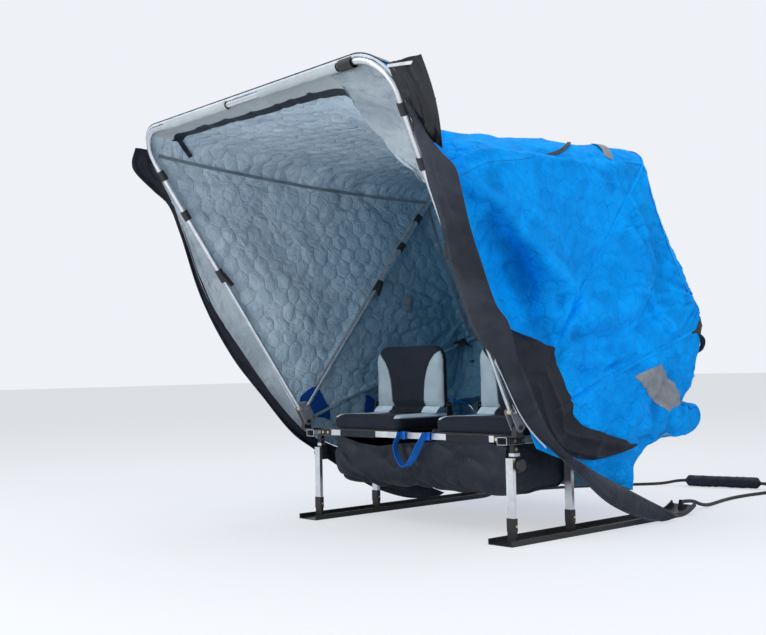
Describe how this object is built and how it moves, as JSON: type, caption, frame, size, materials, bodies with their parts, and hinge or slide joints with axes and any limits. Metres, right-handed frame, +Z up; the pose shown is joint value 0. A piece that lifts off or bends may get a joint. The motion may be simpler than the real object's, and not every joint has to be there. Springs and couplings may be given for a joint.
{
  "type": "ice fishing hut",
  "caption": "Flip-over ice fishing hut with a padded bench on legs and skis and a quilted canopy on folding bows, caught part way open.",
  "frame": {"origin": "on the floor, at the middle of the hut's footprint", "axes": "+X to the side of the hub at the viewer's right, +Y to the tow end at the rear, +Z up; the opening faces -Y"},
  "size_m": [1.8908, 2.9943, 1.7152],
  "materials": {
    "ski_plastic": "black moulded runner",
    "black_plastic": "black moulded plastic",
    "bare_aluminium": "mill-finish extrusion",
    "pole_aluminium": "satin drawn tube",
    "black_steel": "black powder coat",
    "grey_plate": "grey powder coat",
    "zinc_bolt": "yellow zinc plate",
    "lining_cloth": "light grey lining",
    "shell_cloth": "bright blue quilted shell, light grey quilted lining inside",
    "skirt_cloth": "charcoal coated cloth",
    "sling_cloth": "black coated cloth",
    "blue_webbing": "bright blue webbing",
    "black_webbing": "black webbing and padded cloth",
    "seat_cloth": "black and light grey padded cloth"
  },
  "bodies": {
    "chassis": {"skis": "ski_plastic", "foot_caps": "black_plastic", "leg_tubes": "bare_aluminium", "leg_posts": "black_steel", "leg_knobs": "black_plastic", "side_arms": "bare_aluminium", "cross_rails": "bare_aluminium", "corner_plates": "black_steel", "frame_bolts": "zinc_bolt", "post_clips": "bare_aluminium", "pivot_brackets": "black_steel", "left_lower_side": "shell_cloth", "right_lower_side": "shell_cloth", "rear_wall": "shell_cloth", "side_skirts": "skirt_cloth", "seat_boards": "black_plastic", "left_seat_cushion": "seat_cloth", "right_seat_cushion": "seat_cloth", "hinge_ears": "black_steel", "cargo_sling": "sling_cloth", "rail_wraps": "sling_cloth", "pull_strap": "blue_webbing", "tow_strap": "black_webbing", "tow_pad": "black_webbing"},
    "canopy": {"hub_plates": "grey_plate", "bow_bolts": "zinc_bolt", "front_bow_poles": "pole_aluminium", "middle_bow_poles": "pole_aluminium", "rear_bow_poles": "pole_aluminium", "front_bow": "pole_aluminium", "middle_bow": "pole_aluminium", "rear_bow": "pole_aluminium", "cam_locks": "black_plastic", "bow_clips": "black_plastic", "bar_sleeve": "lining_cloth", "left_wall": "shell_cloth", "right_wall": "shell_cloth", "front_roof": "shell_cloth", "rear_roof": "shell_cloth", "front_skirt": "skirt_cloth", "top_skirt": "skirt_cloth"},
    "left_back": {"left_seat_back": "seat_cloth", "left_hinge_pins": "zinc_bolt"},
    "right_back": {"right_seat_back": "seat_cloth", "right_hinge_pins": "zinc_bolt"}
  },
  "joints": [
    {"name": "canopy_flip", "type": "hinge", "parent": "chassis", "child": "canopy", "pos_m": [0, -0.241, 0.438], "axis": [1, 0, 0], "range_deg": [-18, 66], "deforming": ["left_lower_side", "right_lower_side", "rear_wall"]},
    {"name": "left_back_fold", "type": "hinge", "parent": "chassis", "child": "left_back", "pos_m": [-0.272, 0.082, 0.5055], "axis": [1, 0, 0], "range_deg": [-8, 85]},
    {"name": "right_back_fold", "type": "hinge", "parent": "chassis", "child": "right_back", "pos_m": [0.382, 0.082, 0.5055], "axis": [1, 0, 0], "range_deg": [-8, 85]}
  ]
}
